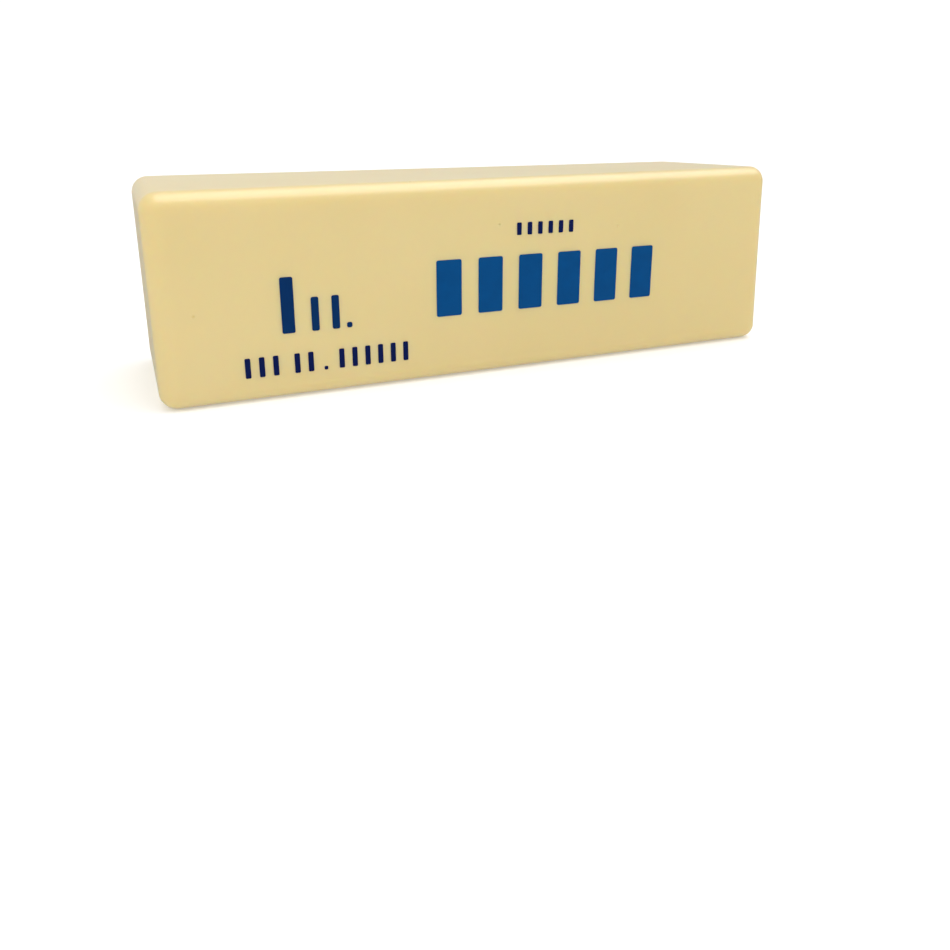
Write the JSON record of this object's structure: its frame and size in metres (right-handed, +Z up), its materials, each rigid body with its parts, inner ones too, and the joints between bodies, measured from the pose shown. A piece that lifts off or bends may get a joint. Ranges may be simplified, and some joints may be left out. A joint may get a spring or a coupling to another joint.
{
  "type": "toy butter block",
  "caption": "Life-size soft moulded toy copy of a stick of butter: a pale yellow oblong block with rounded edges, a flat base and plain blue and navy marks printed on its front.",
  "frame": {"origin": "centre of the footprint, on the flat base the block rests on", "axes": "+X along the block's length, -Y out of the printed front, +Z up"},
  "size_m": [0.112, 0.033, 0.033],
  "materials": {
    "foam_skin": "satin smooth skin of a soft moulded foam",
    "blue_ink": "thin satin pad-printed ink",
    "navy_ink": "thin satin pad-printed ink"
  },
  "bodies": {
    "root": {"block": "foam_skin"}
  },
  "joints": []
}
